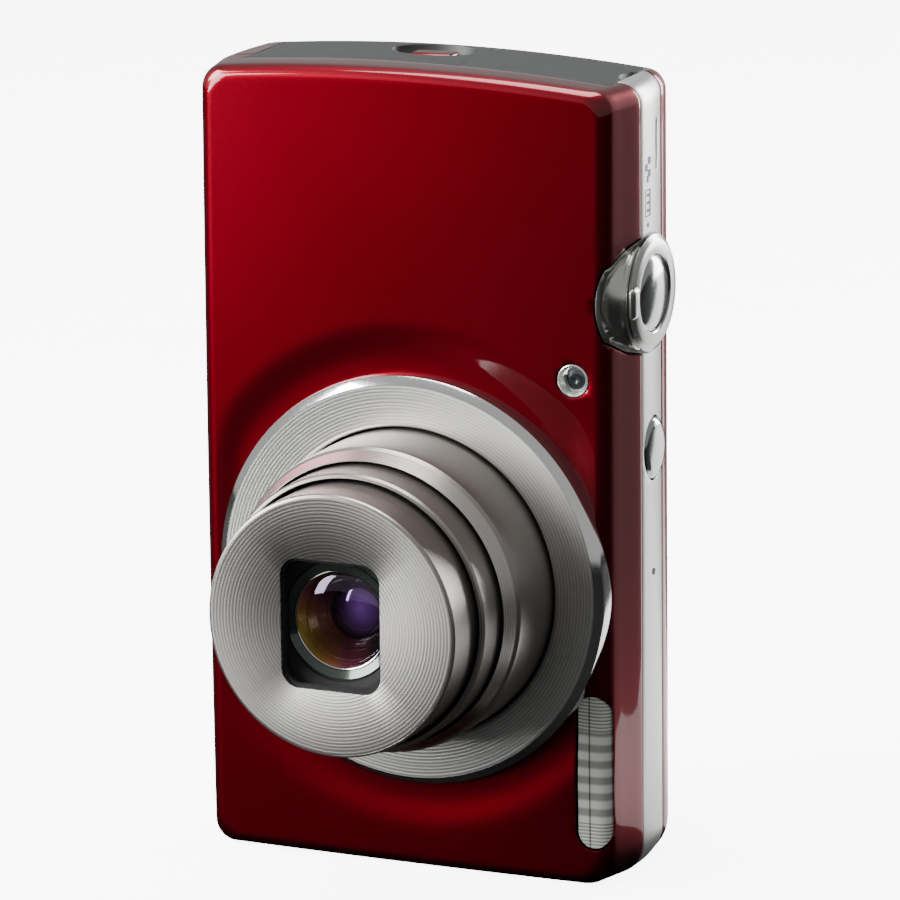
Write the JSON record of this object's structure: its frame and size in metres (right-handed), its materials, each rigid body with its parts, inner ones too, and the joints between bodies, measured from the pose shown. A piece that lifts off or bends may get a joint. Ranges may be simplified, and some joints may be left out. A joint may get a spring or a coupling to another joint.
{
  "type": "compact digital camera",
  "caption": "Compact digital camera with a three-stage retracting zoom lens, flash, rear screen and hinged battery door, standing on its end.",
  "frame": {"origin": "middle of the short end face that the camera stands on", "axes": "+Z along the camera's long side, -Y the way the lens looks, +X the camera's top with the shutter button, -X its base with the battery door and tripod socket"},
  "size_m": [0.0562, 0.0451, 0.0952],
  "materials": {
    "red_paint": "metallic red paint under a gloss clear coat",
    "silver": "satin silver",
    "grey_plastic": "fine matte",
    "brushed_metal": "fine concentric brushing",
    "barrel_finish": "satin, warm grey",
    "black_plastic": "matte",
    "lens_glass": "coated optical glass",
    "clear_window": "clear, ribbed",
    "steel": "bright",
    "brass": "turned",
    "circuit_board": "solder mask",
    "screen": "glossy black"
  },
  "bodies": {
    "camera_body": {"front_cover": "red_paint", "rear_cover": "red_paint", "base_panel": "red_paint", "strap_bar": "red_paint", "top_panel": "silver", "shutter_bezel": "silver", "end_panel": "grey_plastic", "battery": "grey_plastic", "memory_card": "grey_plastic", "lens_ring": "brushed_metal", "lens_housing": "black_plastic", "flash_capacitor": "black_plastic", "speaker": "black_plastic", "battery_holder": "black_plastic", "flash_window": "clear_window", "focus_lamp_window": "clear_window", "flash_tube": "clear_window", "focus_lamp": "clear_window", "flap_pin": "steel", "usb_port": "steel", "focus_rod": "steel", "sensor_plate": "steel", "zoom_motor": "steel", "flash_reflector": "steel", "chassis_plate": "steel", "card_cage": "steel", "door_hinge_pin": "steel", "base_screw_1": "steel", "tripod_socket": "brass", "top_button_board": "circuit_board", "switch_board": "circuit_board", "main_board": "circuit_board", "image_sensor": "screen", "screen_glass": "screen", "lcd_module": "screen"},
    "outer_barrel": {"outer_barrel": "barrel_finish"},
    "middle_barrel": {"middle_barrel": "barrel_finish", "shutter_cell": "black_plastic", "second_lens": "lens_glass"},
    "inner_barrel": {"inner_barrel": "brushed_metal", "lens_face_plate": "brushed_metal", "blade_carrier": "black_plastic", "front_lens_cell": "black_plastic", "front_lens": "lens_glass"},
    "barrier_blade_base": {"barrier_blade_base": "black_plastic"},
    "barrier_blade_top": {"barrier_blade_top": "black_plastic"},
    "focus_group": {"focus_carrier": "black_plastic", "focus_lens": "lens_glass"},
    "zoom_lever": {"zoom_lever": "silver"},
    "shutter_button": {"shutter_button": "silver"},
    "power_button": {"power_button": "silver"},
    "movie_button": {"movie_button": "silver"},
    "playback_button": {"playback_button": "silver"},
    "menu_button": {"menu_button": "silver"},
    "set_button": {"set_button": "silver"},
    "pad_gimbal": {"pad_gimbal": "black_plastic"},
    "pad_ring": {"pad_ring": "silver"},
    "battery_door": {"battery_door": "red_paint"},
    "battery_latch": {"battery_latch": "grey_plastic"},
    "terminal_flap": {"terminal_flap": "grey_plastic"}
  },
  "joints": [
    {"name": "outer_barrel_slide", "type": "slide", "parent": "camera_body", "child": "outer_barrel", "axis": [0, 1, 0], "range_m": [0, 0.0102]},
    {"name": "middle_barrel_slide", "type": "slide", "parent": "outer_barrel", "child": "middle_barrel", "axis": [0, 1, 0], "range_m": [0, 0.0052]},
    {"name": "inner_barrel_slide", "type": "slide", "parent": "middle_barrel", "child": "inner_barrel", "axis": [0, 1, 0], "range_m": [0, 0.0056]},
    {"name": "barrier_base_slide", "type": "slide", "parent": "inner_barrel", "child": "barrier_blade_base", "axis": [1, 0, 0], "range_m": [0, 0.0064]},
    {"name": "barrier_top_slide", "type": "slide", "parent": "inner_barrel", "child": "barrier_blade_top", "axis": [-1, 0, 0], "range_m": [0, 0.0064]},
    {"name": "focus_slide", "type": "slide", "parent": "camera_body", "child": "focus_group", "axis": [0, -1, 0], "range_m": [0, 0.0014]},
    {"name": "zoom_lever_turn", "type": "hinge", "parent": "camera_body", "child": "zoom_lever", "pos_m": [0.02715, -0.00115, 0.0698], "axis": [1, 0, 0], "range_deg": [-20, 20], "stiffness_Nm_per_rad": 0.02},
    {"name": "shutter_button_press", "type": "slide", "parent": "camera_body", "child": "shutter_button", "axis": [-1, 0, 0], "range_m": [0, 0.0003], "stiffness_N_per_m": 1500},
    {"name": "power_button_press", "type": "slide", "parent": "camera_body", "child": "power_button", "axis": [-1, 0, 0], "range_m": [0, 0.0003], "stiffness_N_per_m": 1500},
    {"name": "movie_button_press", "type": "slide", "parent": "camera_body", "child": "movie_button", "axis": [0, -1, 0], "range_m": [0, 0.0003], "stiffness_N_per_m": 1500},
    {"name": "playback_button_press", "type": "slide", "parent": "camera_body", "child": "playback_button", "axis": [0, -1, 0], "range_m": [0, 0.0003], "stiffness_N_per_m": 1500},
    {"name": "menu_button_press", "type": "slide", "parent": "camera_body", "child": "menu_button", "axis": [0, -1, 0], "range_m": [0, 0.0003], "stiffness_N_per_m": 1500},
    {"name": "set_button_press", "type": "slide", "parent": "camera_body", "child": "set_button", "axis": [0, -1, 0], "range_m": [0, 0.0003], "stiffness_N_per_m": 1500},
    {"name": "pad_tilt_x", "type": "hinge", "parent": "camera_body", "child": "pad_gimbal", "pos_m": [-0.001, 0.0101, 0.0795], "axis": [1, 0, 0], "range_deg": [-2.5, 2.5], "stiffness_Nm_per_rad": 0.1},
    {"name": "pad_tilt_z", "type": "hinge", "parent": "pad_gimbal", "child": "pad_ring", "pos_m": [-0.001, 0.0101, 0.0795], "axis": [0, 0, 1], "range_deg": [-2.5, 2.5], "stiffness_Nm_per_rad": 0.1},
    {"name": "battery_door_hinge", "type": "hinge", "parent": "camera_body", "child": "battery_door", "pos_m": [-0.02623, -0.00245, 0.0737], "axis": [0, 0, 1], "range_deg": [0, 95]},
    {"name": "battery_latch_slide", "type": "slide", "parent": "battery_door", "child": "battery_latch", "axis": [0, 0, 1], "range_m": [0, 0.002]},
    {"name": "terminal_flap_hinge", "type": "hinge", "parent": "camera_body", "child": "terminal_flap", "pos_m": [0.0063, 0, 0.09414], "axis": [0, -1, 0], "range_deg": [0, 100]}
  ],
  "couplings": [
    {"joint": "middle_barrel_slide", "follows": "outer_barrel_slide", "ratio": 0.5098},
    {"joint": "inner_barrel_slide", "follows": "outer_barrel_slide", "ratio": 0.549},
    {"joint": "barrier_top_slide", "follows": "barrier_base_slide", "ratio": 1}
  ]
}
